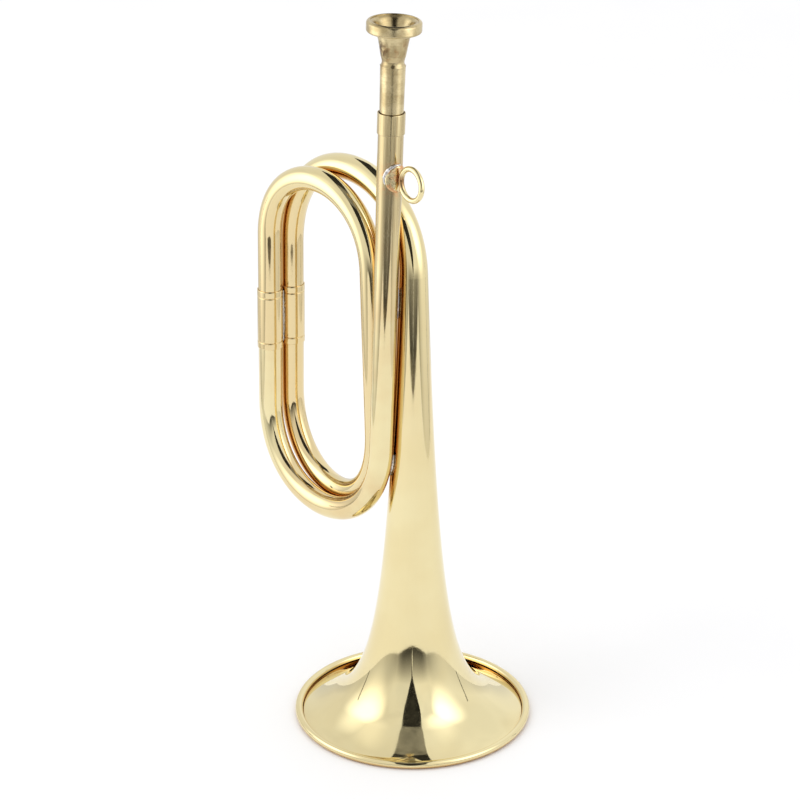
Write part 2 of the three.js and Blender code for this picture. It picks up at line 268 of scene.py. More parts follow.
def tube(name, stations, across, outer, material):
    """A tube open at both ends. outer(distance) is its outside radius."""
    rings = [ring_around(p, t, outer(s), across, TUBE_SIDES) for p, t, s in stations]
    lengths = [s * MM for _, _, s in stations]
    inner = [ring_around(p, t, outer(s) - TUBE_WALL, across, TUBE_SIDES) for p, t, s in stations]
    return skin(name, rings + inner[::-1], lengths + lengths[::-1], material, True)


def section_lengths(section):
    """Each point's distance along the section, in metres."""
    lengths = [0.0]
    for a, b in zip(section, section[1:]):
        lengths.append(lengths[-1] + math.dist(a, b) * MM)
    return lengths


def supported(section, near=0.3):
    """The section with points added just inside the ends of its long runs, so that these shade flat."""
    points = []
    for a, b in zip(section, section[1:] + section[:1]):
        points.append(a)
        run = math.dist(a, b)
        if run > 4 * near:
            for share in (near / run, 1 - near / run):
                points.append((a[0] + (b[0] - a[0]) * share, a[1] + (b[1] - a[1]) * share))
    return points


def turned(name, section, place, material, sides):
    """A closed section of (radius, height) points turned about the Z of place."""
    rings = []
    angles = [2 * math.pi * k / sides for k in range(sides)]
    for radius, height in section:
        ring = [Vector((radius * math.cos(a), radius * math.sin(a), height)) for a in angles]
        rings.append([place @ point for point in ring])
    return skin(name, rings, section_lengths(section), material, True)


def softened(corners, steps=4):
    """Corners given as (radius, height, cut): each is rounded off by cut millimetres each way."""
    points = []
    count = len(corners)
    for i, (r, z, cut) in enumerate(corners):
        here = Vector((r, z))
        if cut == 0:
            points.append((r, z))
            continue
        before = Vector(corners[i - 1][:2])
        after = Vector(corners[(i + 1) % count][:2])
        a = here + (before - here).normalized() * cut
        b = here + (after - here).normalized() * cut
        for k in range(steps + 1):
            t = k / steps
            p = a * (1 - t) ** 2 + here * (2 * t * (1 - t)) + b * t * t
            points.append((p.x, p.y))
    return points


def between(a, b, c, d, t):
    """The Catmull-Rom value a share t of the way from b to c, for numbers or vectors."""
    return 0.5 * (2 * b + (c - a) * t + (2 * a - 5 * b + 4 * c - d) * t**2 + (3 * b - a - 3 * c + d) * t**3)


def through(points, steps=6):
    """A smooth line through points of (radius, height)."""
    padded = [points[0], *points, points[-1]]
    line = []
    for span in zip(padded, padded[1:], padded[2:], padded[3:]):
        for k in range(steps):
            line.append(tuple(between(*values, k / steps) for values in zip(*span)))
    line.append(points[-1])
    return line


def arc(centre, radius, start, stop, steps):
    """Points of an arc in a section, its angles in degrees from outward."""
    angles = [math.radians(start + (stop - start) * i / steps) for i in range(steps + 1)]
    return [(centre[0] + radius * math.cos(a), centre[1] + radius * math.sin(a)) for a in angles]


def across_bow(name):
    """The level direction square to a bow's plane."""
    start_leg, end_leg = BOWS[name][:2]
    run = leg_point(end_leg, 200) - leg_point(start_leg, 200)
    return Vector((-run.y, run.x, 0)).normalized()


def finish_piece(piece, node, body="bugle"):
    """Sets the body that the piece rides and hides the CAD node that it replaces."""
    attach(piece, body)
    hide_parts(node)


# ---------------------------------------------------------------- materials


# Sockets of the Mix node that take and give colours.
MIX_A, MIX_B, MIX_RESULT = 6, 7, 2

# How far the painted crevice shade looks for another surface, and the openness at which it is full and at
# which it starts. The shade and the reflections of brass in brass between parts are painted into the
# colour.
CREVICE_REACH = 12.0
CREVICE_CLOSED, CREVICE_OPEN = 0.30, 0.66
CREVICE_STRENGTH = 0.80


class Shader:
    """A material's node tree, with short calls for the nodes that these materials use."""

    def __init__(self, name):
        self.material = bpy.data.materials.new(name)
        self.material.use_nodes = True
        self.tree = self.material.node_tree
        self.bsdf = next(n for n in self.tree.nodes if n.type == "BSDF_PRINCIPLED")
        self.coordinates = self.tree.nodes.new("ShaderNodeTexCoord")

    def link(self, source, target):
        """Joins an output socket to an input socket."""
        self.tree.links.new(source, target)

    def node(self, kind, **settings):
        """A new node of a kind, with its settings."""
        made = self.tree.nodes.new(kind)
        for key, value in settings.items():
            setattr(made, key, value)
        return made

    def noise(self, scale, detail=2.0, roughness=0.5, stretch_by=None, uv=False):
        """Noise over the object or, with uv, round and along it. stretch_by scales each direction."""
        texture = self.node("ShaderNodeTexNoise")
        texture.inputs["Scale"].default_value = scale
        texture.inputs["Detail"].default_value = detail
        texture.inputs["Roughness"].default_value = roughness
        source = self.coordinates.outputs["UV" if uv else "Object"]
        if stretch_by:
            mapping = self.node("ShaderNodeMapping")
            mapping.inputs["Scale"].default_value = stretch_by
            self.link(source, mapping.inputs["Vector"])
            source = mapping.outputs["Vector"]
        self.link(source, texture.inputs["Vector"])
        return texture.outputs["Fac"]

    def ranged(self, value, low, high, to_low, to_high, smooth=True):
        """The value taken from the range low to high to the range to_low to to_high."""
        remap = self.node("ShaderNodeMapRange")
        remap.interpolation_type = "SMOOTHSTEP" if smooth else "LINEAR"
        keys = ("From Min", "From Max", "To Min", "To Max")
        for key, number in zip(keys, (low, high, to_low, to_high)):
            remap.inputs[key].default_value = number
        self.link(value, remap.inputs["Value"])
        return remap.outputs["Result"]

    def near(self, point, reach, fade):
        """1 within reach millimetres of a point of the object, falling to 0 over fade more."""
        distance = self.node("ShaderNodeVectorMath", operation="DISTANCE")
        distance.inputs[1].default_value = metres(point)
        self.link(self.coordinates.outputs["Object"], distance.inputs[0])
        return self.ranged(distance.outputs["Value"], reach * MM, (reach + fade) * MM, 1.0, 0.0)

    def painted_crevice_shade(self):
        """Painted shade: rises from 0 where another surface is close in front, as between two tubes side by
        side.
        """
        occlusion = self.node("ShaderNodeAmbientOcclusion", samples=6)
        occlusion.inputs["Distance"].default_value = CREVICE_REACH * MM
        openness = occlusion.outputs["AO"]
        return self.ranged(openness, CREVICE_CLOSED, CREVICE_OPEN, CREVICE_STRENGTH, 0.0)

    def above_floor(self):
        """The height above the floor, in metres."""
        parts = self.node("ShaderNodeSeparateXYZ")
        self.link(self.coordinates.outputs["Object"], parts.inputs["Vector"])
        return parts.outputs["Z"]

    def height(self, low, high):
        """0 below a height in millimetres above the floor, rising to 1 at a second height."""
        return self.ranged(self.above_floor(), low * MM, high * MM, 0.0, 1.0)

    def math(self, operation, a, b):
        """A sum or product of two values, each a number or an output socket."""
        made = self.node("ShaderNodeMath", operation=operation)
        for socket, value in zip(made.inputs, (a, b)):
            if isinstance(value, (int, float)):
                socket.default_value = value
            else:
                self.link(value, socket)
        return made.outputs["Value"]

    def mixed(self, factor, a, b):
        """Colour a turning into colour b as factor goes from 0 to 1."""
        mix = self.node("ShaderNodeMix", data_type="RGBA")
        self.link(factor, mix.inputs["Factor"])
        for socket, value in ((mix.inputs[MIX_A], a), (mix.inputs[MIX_B], b)):
            if isinstance(value, tuple):
                socket.default_value = (*value, 1.0)
            else:
                self.link(value, socket)
        return mix.outputs[MIX_RESULT]

    def bump(self, heights):
        """Bumps one on another: each is (height, distance in metres, strength)."""
        normal = None
        for height, distance, strength in heights:
            made = self.node("ShaderNodeBump")
            made.inputs["Distance"].default_value = distance
            made.inputs["Strength"].default_value = strength
            self.link(height, made.inputs["Height"])
            if normal:
                self.link(normal, made.inputs["Normal"])
            normal = made.outputs["Normal"]
        self.link(normal, self.bsdf.inputs["Normal"])


GOLD_PALE = (0.845, 0.74, 0.43)
GOLD_DEEP = (0.81, 0.69, 0.38)
GOLD_WARM = (0.78, 0.61, 0.33)
TAN = (0.44, 0.345, 0.175)
TAN_PALE = (0.67, 0.56, 0.325)
# Painted shade and reflection of brass in brass, between parts.
CREVICE_SHADE_ORANGE = (0.58, 0.29, 0.06)
BROWN = (0.34, 0.19, 0.08)
COPPER = (0.68, 0.36, 0.17)
GREY_METAL = (0.52, 0.50, 0.48)
# Painted shade: dark browns for inside the receiver and for a patch on the mouthpiece's bowl.
SHADE_BROWN = (0.10, 0.055, 0.025)
SHADE_BROWN_PALE = (0.20, 0.12, 0.05)
SOLDER_PALE = (0.78, 0.76, 0.74)
# Painted shade on solder between parts.
SOLDER_CREVICE_SHADE = (0.12, 0.10, 0.10)
PAPER = (0.90, 0.90, 0.905)
PAPER_PALE = (0.93, 0.93, 0.93)

# The loop's brass is warmer than the bell's, about this point.
LOOP_MIDDLE = (-60.0, 50.0, 190.0)
LOOP_WARMTH = 0.75

# The leadpipe's polish gives way to handled, satin brass between these heights.
POLISH_TOP_Z = 235.0
SATIN_Z = 300.0


def lacquered_brass():
    """Buffed brass under clear lacquer: nearly a mirror, with faint buffing lines and haze, and painted
    deep orange shade where brass faces brass.
    """
    s = Shader("lacquered_brass")
    s.bsdf.inputs["Metallic"].default_value = 1.0
    s.bsdf.inputs["Coat Weight"].default_value = 0.25
    s.bsdf.inputs["Coat Roughness"].default_value = 0.04
    tone = s.ranged(s.noise(28.0, 3.0), 0.35, 0.68, 0.0, 1.0)
    gold = s.mixed(tone, GOLD_DEEP, GOLD_PALE)
    loop = s.near(LOOP_MIDDLE, 50.0, 60.0)
    warmed = s.mixed(s.math("MULTIPLY", loop, LOOP_WARMTH), gold, GOLD_WARM)
    # Painted shade and reflection: deep orange where another surface is close, as between tubes.
    crevice_shaded = s.mixed(s.painted_crevice_shade(), warmed, CREVICE_SHADE_ORANGE)
    ring_foot = s.near(beside_saddle(8.6), 1.5, 4.5)
    s.link(s.mixed(ring_foot, crevice_shaded, BROWN), s.bsdf.inputs["Base Color"])
    haze = s.noise(70.0, 4.0, 0.6)
    s.link(s.ranged(haze, 0.3, 0.75, 0.03, 0.08), s.bsdf.inputs["Roughness"])
    buffing = s.noise(1.0, 2.0, 0.6, stretch_by=(160.0, 900.0, 1.0), uv=True)
    s.bump([(s.noise(55.0, 1.0), 0.0004, 0.05), (buffing, 0.00002, 0.12)])
    return s.material


def leadpipe_brass():
    """Drawn brass, polished low down and handled to a tan satin above, heat-stained at the saddle, with
    painted orange shade where brass faces brass.
    """
    s = Shader("leadpipe_brass")
    s.bsdf.inputs["Metallic"].default_value = 1.0
    s.bsdf.inputs["Coat Weight"].default_value = 0.10
    s.bsdf.inputs["Coat Roughness"].default_value = 0.10
    tone = s.ranged(s.noise(32.0, 3.0), 0.35, 0.68, 0.0, 1.0)
    gold = s.mixed(tone, GOLD_WARM, GOLD_PALE)
    handled = s.height(POLISH_TOP_Z, SATIN_Z)
    drawn = s.noise(1.0, 3.0, 0.6, stretch_by=(260.0, 30.0, 1.0), uv=True)
    worn = s.mixed(s.ranged(drawn, 0.4, 0.62, 0.0, 1.0), TAN, TAN_PALE)
    streaked = s.mixed(s.math("MULTIPLY", handled, 0.9), gold, worn)
    by_saddle = s.near(beside_saddle(6.5), 5.0, 7.0)
    stain = s.math("MULTIPLY", by_saddle, s.ranged(s.noise(420.0, 4.0), 0.42, 0.6, 0.0, 0.8))
    stained = s.mixed(stain, streaked, COPPER)
    # Painted shade and reflection: deep orange where another surface is close.
    s.link(s.mixed(s.painted_crevice_shade(), stained, CREVICE_SHADE_ORANGE), s.bsdf.inputs["Base Color"])
    haze = s.ranged(s.noise(90.0, 4.0, 0.6), 0.3, 0.75, 0.03, 0.08)
    s.link(s.math("ADD", haze, s.math("MULTIPLY", handled, 0.09)), s.bsdf.inputs["Roughness"])
    s.bump([(s.noise(60.0, 1.0), 0.0004, 0.05), (drawn, 0.00003, 0.15)])
    return s.material


def turned_brass():
    """Lathe-turned brass, satin, with fine rings, darker brown in patches about the bowl, and a dark patch
    of painted shade on the bowl's left side.
    """
    s = Shader("turned_brass")
    s.bsdf.inputs["Metallic"].default_value = 1.0
    tone = s.ranged(s.noise(90.0, 4.0, 0.6), 0.35, 0.68, 0.0, 1.0)
    rings = s.noise(1.0, 3.0, 0.7, stretch_by=(2.0, 4200.0, 1.0), uv=True)
    base = s.mixed(tone, TAN, TAN_PALE)
    ringed = s.mixed(s.ranged(rings, 0.52, 0.7, 0.0, 0.4), base, BROWN)
    # Darker brown in patches about the bowl.
    bowl = s.near(over_receiver(0, 0, 30.0), 7.0, 5.0)
    bowl_darkening = s.math("MULTIPLY", bowl, s.ranged(s.noise(260.0, 4.0, 0.65), 0.5, 0.66, 0.0, 0.6))
    bowl_darkened = s.mixed(bowl_darkening, ringed, BROWN)
    # Painted shade: a dark patch on the left side of the bowl.
    shaded_bowl_side = s.near(over_receiver(-6.0, -3.5, 31.5), 2.0, 4.5)
    patch = s.math("MULTIPLY", shaded_bowl_side, s.ranged(s.noise(420.0, 4.0), 0.42, 0.56, 0.2, 0.95))
    s.link(s.mixed(patch, bowl_darkened, SHADE_BROWN), s.bsdf.inputs["Base Color"])
    s.link(s.ranged(s.noise(150.0, 4.0, 0.6), 0.3, 0.75, 0.13, 0.26), s.bsdf.inputs["Roughness"])
    s.bump([(rings, 0.00008, 0.4)])
    return s.material


def painted_bore_shade():
    """The unpolished inside of a sleeve, painted dark brown as the shade in its bore."""
    s = Shader("painted_bore_shade")
    s.bsdf.inputs["Metallic"].default_value = 1.0
    patches = s.ranged(s.noise(200.0, 4.0, 0.6), 0.35, 0.65, 0.0, 1.0)
    s.link(s.mixed(patches, SHADE_BROWN, SHADE_BROWN_PALE), s.bsdf.inputs["Base Color"])
    s.link(s.ranged(patches, 0.0, 1.0, 0.5, 0.7), s.bsdf.inputs["Roughness"])
    return s.material


def brazed_brass():
    """Brass reddened and darkened in patches by the brazing flame."""
    s = Shader("brazed_brass")
    s.bsdf.inputs["Metallic"].default_value = 1.0
    patches = s.ranged(s.noise(380.0, 4.0, 0.6), 0.36, 0.62, 0.0, 1.0)
    reddened = s.mixed(patches, COPPER, GOLD_PALE)
    specks = s.ranged(s.noise(900.0, 3.0), 0.6, 0.7, 0.0, 0.7)
    s.link(s.mixed(specks, reddened, BROWN), s.bsdf.inputs["Base Color"])
    s.link(s.ranged(patches, 0.0, 1.0, 0.34, 0.16), s.bsdf.inputs["Roughness"])
    s.bump([(s.noise(700.0, 4.0), 0.0002, 0.3)])
    return s.material


def silver_solder():
    """Cold grey solder with a wrinkled skin, painted dark grey as shade where it lies between parts."""
    s = Shader("silver_solder")
    s.bsdf.inputs["Metallic"].default_value = 1.0
    patches = s.ranged(s.noise(600.0, 4.0, 0.6), 0.35, 0.65, 0.0, 1.0)
    grey = s.mixed(patches, GREY_METAL, SOLDER_PALE)
    # Painted shade: dark grey where another surface is close.
    s.link(s.mixed(s.painted_crevice_shade(), grey, SOLDER_CREVICE_SHADE), s.bsdf.inputs["Base Color"])
    s.link(s.ranged(patches, 0.0, 1.0, 0.42, 0.2), s.bsdf.inputs["Roughness"])
    s.bump([(s.noise(1100.0, 4.0), 0.0002, 0.4)])
    return s.material


def floor_paper():
    """White background paper with the slightest tooth."""
    s = Shader("floor_paper")
    s.bsdf.inputs["Roughness"].default_value = 0.75
    s.bsdf.inputs["Specular IOR Level"].default_value = 0.2
    tooth = s.noise(9.0, 3.0)
    s.link(s.mixed(tooth, PAPER, PAPER_PALE), s.bsdf.inputs["Base Color"])
    s.bump([(s.noise(1400.0, 2.0), 0.0001, 0.08)])
    return s.material


MATERIALS = {
    "lacquered_brass": lacquered_brass(),
    "leadpipe_brass": leadpipe_brass(),
    "turned_brass": turned_brass(),
    "painted_bore_shade": painted_bore_shade(),
    "brazed_brass": brazed_brass(),
    "silver_solder": silver_solder(),
}

# ---------------------------------------------------------------- bell


def horn_radius(z):
    """The bell's outside radius at height z, above the flare."""
    return 111.5 * z**-0.22 - 25.9


def horn_slope(z):
    """How the radius changes with height there."""
    return -24.53 * z**-1.22


def bell_outline():
    """Outside points of the bell from tail to groove, each with its outward normal."""
    outline = []
    horn_steps = 110
    for i in range(horn_steps + 1):
        share = i / horn_steps
        z = BELL_TAIL_Z ** (1 - share) * BELL_FLARE_Z**share
        length = math.hypot(1, horn_slope(z))
        outline.append((horn_radius(z), z, 1 / length, -horn_slope(z) / length))
    p0 = Vector((horn_radius(BELL_FLARE_Z), BELL_FLARE_Z))
    p1 = Vector((52.6, 2.34))
    p2 = Vector(BELL_GROOVE)
    flare_steps = 24
    for i in range(1, flare_steps + 1):
        t = i / flare_steps
        p = p0 * (1 - t) ** 2 + p1 * (2 * t * (1 - t)) + p2 * t * t
        d = ((p1 - p0) * (1 - t) + (p2 - p1) * t).normalized()
        outline.append((p.x, p.y, -d.y, d.x))
    return outline


def make_bell():
    """Sheet spun to a horn, its edge rolled back into a bead round a wire."""
    outline = bell_outline()
    outside = [(r, z) for r, z, _, _ in outline]
    inside = [(r - SHEET * nr, z - SHEET * nz) for r, z, nr, nz in outline]
    centre = (BEAD_RING_RADIUS, CURL_RADIUS)
    curl_inside = arc(centre, CURL_RADIUS - SHEET, -112, 176, 28)
    lip = arc((centre[0] - CURL_RADIUS + SHEET / 2, centre[1]), SHEET / 2, 20, 170, 4)
    curl_outside = arc(centre, BEAD_RADIUS, 176, -100, 36)
    section = outside + curl_inside + lip + curl_outside + inside[::-1]
    bell = turned("bell_spun_brass", section, Matrix(), MATERIALS["lacquered_brass"], sides=160)
    finish_piece(bell, "bell")
    wire_section = arc(centre, RIM_WIRE_RADIUS, 0, 345, 23)
    wire = turned("rim_wire_rod", wire_section, Matrix(), MATERIALS["leadpipe_brass"], sides=120)
    finish_piece(wire, "rim_wire")


# ---------------------------------------------------------------- tubes


def make_leadpipe():
    """Down from the receiver, slightly swaged, round the front lower bow and up to the front ferrule."""
    top = RECEIVER_MOUTH_Z - RECEIVER_LENGTH + 1.9
    stations = join(
        stretch("leadpipe", top, SWAGE_END_Z, 24),
        stretch("leadpipe", SWAGE_END_Z, BOWS["front_lower"][2], 24),
        bend("front_lower", 90),
        stretch("front_left", BOWS["front_lower"][3], FERRULE_JOINT_Z - 0.3, 12),
    )

    def radius(s):
        swage = max(0.0, 1 - s / (top - SWAGE_END_Z))
        return TUBE_RADIUS + (LEADPIPE_MOUTH_RADIUS - TUBE_RADIUS) * min(1.0, 2 * swage)

    pipe = tube("leadpipe_tube", stations, across_bow("front_lower"), radius, MATERIALS["leadpipe_brass"])
    finish_piece(pipe, "leadpipe")


def make_middle_tube():
    """From the front ferrule over, down the middle, and round to the back ferrule."""
    stations = join(
        stretch("front_left", FERRULE_JOINT_Z + 0.3, BOWS["front_upper"][2], 10),
        bend("front_upper", 84),
        stretch("middle", BOWS["front_upper"][3], BOWS["back_lower"][2], 24),
        bend("back_lower", 84),
        stretch("back_left", BOWS["back_lower"][3], FERRULE_JOINT_Z - 0.3, 12),
    )
    pipe = tube(
        "middle_drawn_tube",
        stations,
        across_bow("front_upper"),
        lambda s: TUBE_RADIUS,
        MATERIALS["lacquered_brass"],
    )
    finish_piece(pipe, "middle_tube")


def make_bell_bow():
    """The bow grows evenly towards the bell, then eases into the slope of the bell's tail."""
    stations = join(
        stretch("back_left", FERRULE_JOINT_Z + 0.3, BOWS["bell"][2], 10),
        bend("bell", 100),
    )
    bend_start = BOWS["bell"][2] - FERRULE_JOINT_Z
    bend_length = stations[-1][2] - bend_start
    ease_share = 0.12  # the last part of the bend, where the tube eases into the bell's slope
    ease = 0.26
    growth = horn_radius(BELL_TAIL_Z) - TUBE_RADIUS - ease

    def radius(s):
        share = max(0.0, s - bend_start) / bend_length
        late = max(0.0, share - 1 + ease_share) / ease_share
        return TUBE_RADIUS + growth * share + ease * late**2

    pipe = tube("bell_bow_tube", stations, across_bow("bell"), radius, MATERIALS["lacquered_brass"])
    finish_piece(pipe, "bell_bow")


def make_ferrule(name, node, leg):
    """A sleeve with a band at each end, set off by a fine groove."""
    bore = TUBE_RADIUS + 0.1
    body = FERRULE_RADIUS - 0.06
    groove = FERRULE_RADIUS - 0.3
    low, high = FERRULE_BAND, FERRULE_LENGTH - FERRULE_BAND
    section = softened(
        [
            (bore, 0.05, 0.0),
            (FERRULE_RADIUS, 0.0, 0.22),
            (FERRULE_RADIUS, low - 0.45, 0.16),
            (groove, low - 0.3, 0.06),
            (groove, low - 0.1, 0.06),
            (body, low + 0.05, 0.12),
            (body, high - 0.05, 0.12),
            (groove, high + 0.1, 0.06),
            (groove, high + 0.3, 0.06),
            (FERRULE_RADIUS, high + 0.45, 0.16),
            (FERRULE_RADIUS, FERRULE_LENGTH, 0.22),
            (bore, FERRULE_LENGTH - 0.05, 0.0),
        ],
        steps=3,
    )
    place = on_leg(leg, FERRULE_BOTTOM_Z)
    sleeve = turned(name, supported(section), place, MATERIALS["lacquered_brass"], sides=80)
    finish_piece(sleeve, node)


# ---------------------------------------------------------------- mouthpiece and receiver


def shade_inside_bore(piece, place, radius):
    """Gives the faces nearer the axis of place than radius the painted shade of the bore."""
    piece.data.materials.append(MATERIALS["painted_bore_shade"])
    back = place.inverted()
    for face in piece.data.polygons:
        centre = face.center
        spot = back @ Vector(((centre.x - BELL_X) / MM, (centre.y - BELL_Y) / MM, centre.z / MM))
        if math.hypot(spot.x, spot.y) < radius:
            face.material_index = 1


def make_receiver():
    """The sleeve on the leadpipe's end that takes the mouthpiece's shank."""
    place = on_leg("leadpipe", RECEIVER_MOUTH_Z)
    skirt = LEADPIPE_MOUTH_RADIUS + 0.06
    section = softened(
        [
            (skirt, -RECEIVER_LENGTH + 0.05, 0.0),
            (RECEIVER_RADIUS, -RECEIVER_LENGTH, 0.25),
            (RECEIVER_RADIUS, 0.0, 0.3),
            (RECEIVER_BORE, -0.05, 0.12),
            (RECEIVER_BORE, -8.3, 0.0),
            (skirt, -8.3, 0.0),
        ]
    )
    sleeve = turned("receiver_sleeve", supported(section), place, MATERIALS["leadpipe_brass"], sides=80)
    # Painted shade: the faces inside the bore are dark brown.
    shade_inside_bore(sleeve, place, RECEIVER_BORE + 0.15)
    finish_piece(sleeve, "mouthpiece_receiver")


def make_mouthpiece():
    """Turned in one piece: shank, collar, neck, bowl, rim, cup, throat and backbore."""
    shank = softened([(5.25, -23.0, 0.3), (5.85, 0.0, 0.0), (6.15, 22.3, 0.0), (6.2, 23.3, 0.35)])
    neck = through([(5.5, 24.3), (5.45, 24.9), (5.5, 25.7)], steps=4)
    bowl = through([(6.1, 27.9), (6.65, 31.0), (7.3, 34.6), (8.05, 37.9), (8.6, 39.25)], steps=5)
    rim = softened(
        [
            (12.6, 39.35, 0.5),
            (13.35, 40.1, 0.45),
            (13.35, 44.3, 0.6),
            (12.4, 45.1, 0.6),
            (11.4, 45.1, 0.5),
        ]
    )
    cup = through(
        [(10.5, 44.7), (9.6, 43.6), (8.6, 41.2), (7.1, 38.0), (5.2, 35.0), (3.2, 32.4), (1.95, 30.4)]
    )
    backbore = [(1.95, 28.0), (2.6, 15.0), (3.9, -23.0)]
    section = supported(shank + neck + bowl + rim + cup + backbore)
    place = on_leg("leadpipe", RECEIVER_MOUTH_Z)
    piece = turned("mouthpiece_turned_brass", section, place, MATERIALS["turned_brass"], sides=112)
    finish_piece(piece, "mouthpiece", body="mouthpiece")


# ---------------------------------------------------------------- strap ring


def on_pipe(place, distance, along_arc, height):
    """A point beside the saddle's centre, at a distance from the pipe's axis."""
    angle = SADDLE_AZIMUTH + along_arc / (LEADPIPE_MOUTH_RADIUS + 0.3)
    return place @ Vector((distance * math.cos(angle), distance * math.sin(angle), height))


def make_saddle(place):
    """A round disc wrapped on the pipe, its edge thinned into the brazing."""
    sides = 64
    shares = [1.0, 0.985, 0.95, 0.88, 0.75, 0.5, 0.25, 0.05]
    rise = [0.25, 0.62, 0.86, 0.97, 1.0, 1.03, 1.06, 1.07]

    def ring(share, distance):
        angles = [2 * math.pi * k / sides for k in range(sides)]
        reach = share * SADDLE_RADIUS
        return [on_pipe(place, distance, reach * math.cos(a), reach * math.sin(a)) for a in angles]

    inner = LEADPIPE_MOUTH_RADIUS - 0.1
    under = [ring(share, inner) for share in reversed(shares)]
    over = [ring(share, inner + lift) for share, lift in zip(shares, rise)]
    rings = under + over
    lengths = [i * MM for i in range(len(rings))]
    disc = skin("ring_saddle_disc", rings, lengths, MATERIALS["brazed_brass"], False)
    finish_piece(disc, "ring_saddle")


def make_ring(place):
    """A ring of round wire standing out from the saddle, in a plane through the leadpipe's axis."""
    turn = place @ Matrix.Rotation(SADDLE_AZIMUTH, 4, "Z")
    sides = 40
    steps = 120
    rings = []
    for i in range(steps):
        around = 2 * math.pi * i / steps
        out = Vector((math.cos(around), 0, math.sin(around)))
        ring = []
        for k in range(sides):
            a = 2 * math.pi * k / sides
            level = out * (RING_RADIUS + RING_WIRE * math.cos(a))
            spot = level + Vector((0, RING_WIRE * math.sin(a), 0))
            ring.append(turn @ (spot + Vector((RING_REACH, 0, 0))))
        rings.append(ring)
    lengths = [i / steps * 2 * math.pi * RING_RADIUS * MM for i in range(steps)]
    ring = skin("strap_ring_loop", rings, lengths, MATERIALS["lacquered_brass"], True)
    finish_piece(ring, "strap_ring")


def lumpy_rod(name, points, radius, seed):
    """A run of solder: a rod through points that tapers at its ends and swells unevenly."""
    sides = 24
    fine = 10
    line = []
    padded = [points[0], *points, points[-1]]
    for span in zip(padded, padded[1:], padded[2:], padded[3:]):
        line.extend(between(*span, k / fine) for k in range(fine))
    line.append(points[-1])
    rings = []
    lengths = [0.0]
    across = Vector((0.4, 0.9, 0.2))
    for i, point in enumerate(line):
        tangent = (line[min(i + 1, len(line) - 1)] - line[max(i - 1, 0)]).normalized()
        swell = 0.25 + 0.75 * math.sin(math.pi * i / (len(line) - 1)) ** 0.6
        ring = ring_around(point, tangent, radius * swell, across, sides)
        rings.append([p + (p - point) * 0.28 * noise.noise(p * 0.8 + Vector((seed, 0, 0))) for p in ring])
        if i:
            lengths.append(lengths[-1] + (point - line[i - 1]).length * MM)
    return skin(name, rings, lengths, MATERIALS["silver_solder"], False)


def make_strap_ring():
    """The ring, the saddle under it, and the solder along the saddle's upper left edge."""
    place = on_leg("leadpipe", SADDLE_Z)
    make_saddle(place)
    make_ring(place)
    reach = SADDLE_RADIUS + 0.3
    points = []
    for degrees in range(80, 201, 20):
        a = math.radians(degrees)
        spot = on_pipe(place, LEADPIPE_MOUTH_RADIUS + 0.3, reach * math.cos(a), reach * math.sin(a))
        points.append(spot)
    rod = lumpy_rod("ring_solder_run", points, 0.95, 3.0)
    finish_piece(rod, "ring_solder")


# ---------------------------------------------------------------- soldered joints


def crevice(a, radius_a, b, radius_b, solder, side):
    """The centre of a round run of solder lying in the crevice between two round tubes."""
    reach_a = radius_a + solder
    reach_b = radius_b + solder
    run = Vector((b.x - a.x, b.y - a.y, 0))
    distance = run.length
    run.normalize()
    along = (reach_a**2 - reach_b**2 + distance**2) / (2 * distance)
    off = side * math.sqrt(max(0.0, reach_a**2 - along**2))
    return Vector((a.x + run.x * along - run.y * off, a.y + run.y * along + run.x * off, a.z))


def bow_at_height(name, z):
    """The point of a lower bow's first half at height z."""
    low, high = 0.0, 0.45
    for _ in range(40):
        middle = (low + high) / 2
        if bezier(name, middle)[0].z > z:
            low = middle
        else:
            high = middle
    return bezier(name, low)[0]


def spread(start, stop, count):
    """Evenly spaced numbers, with both ends."""
    return [start + (stop - start) * i / (count - 1) for i in range(count)]


def make_soldered_joints():
    """Solder between the ferrules, the front lower bow and the bell, and the leadpipe and the bell."""
    solder = 0.55
    points = []
    for z in spread(FERRULE_BOTTOM_Z + 2, FERRULE_BOTTOM_Z + FERRULE_LENGTH - 2, 6):
        a, b = leg_point("front_left", z), leg_point("back_left", z)
        points.append(crevice(a, FERRULE_RADIUS, b, FERRULE_RADIUS, solder, -1))
    rod = lumpy_rod("ferrule_solder_run", points, 0.75, 7.0)
    finish_piece(rod, "ferrule_solder")

    points = []
    for z in spread(138, 151, 6):
        bow = bow_at_height("front_lower", z)
        points.append(crevice(bow, TUBE_RADIUS, leg_point("bell", z), horn_radius(z), solder, -1))
    rod = lumpy_rod("bell_joint_solder_run", points, 0.9, 11.0)
    finish_piece(rod, "bell_joint_solder")

    points = []
    for z in spread(224, 240, 6):
        a, b = leg_point("leadpipe", z), leg_point("bell", z)
        points.append(crevice(a, TUBE_RADIUS, b, horn_radius(z), solder, 1))
    rod = lumpy_rod("upper_joint_solder_run", points, 0.8, 13.0)
    finish_piece(rod, "upper_joint_solder")


# ---------------------------------------------------------------- studio


def add_floor():
    """A square of paper."""
    half = 6.0
    corners = [(-half, -half, 0), (half, -half, 0), (half, half, 0), (-half, half, 0)]
    mesh = bpy.data.meshes.new("floor")
    mesh.from_pydata(corners, [], [(0, 1, 2, 3)])
    mesh.materials.append(floor_paper())
    floor = bpy.data.objects.new("floor", mesh)
    bpy.context.scene.collection.objects.link(floor)


AIM_POINT = Vector((0, 0, 0.12))


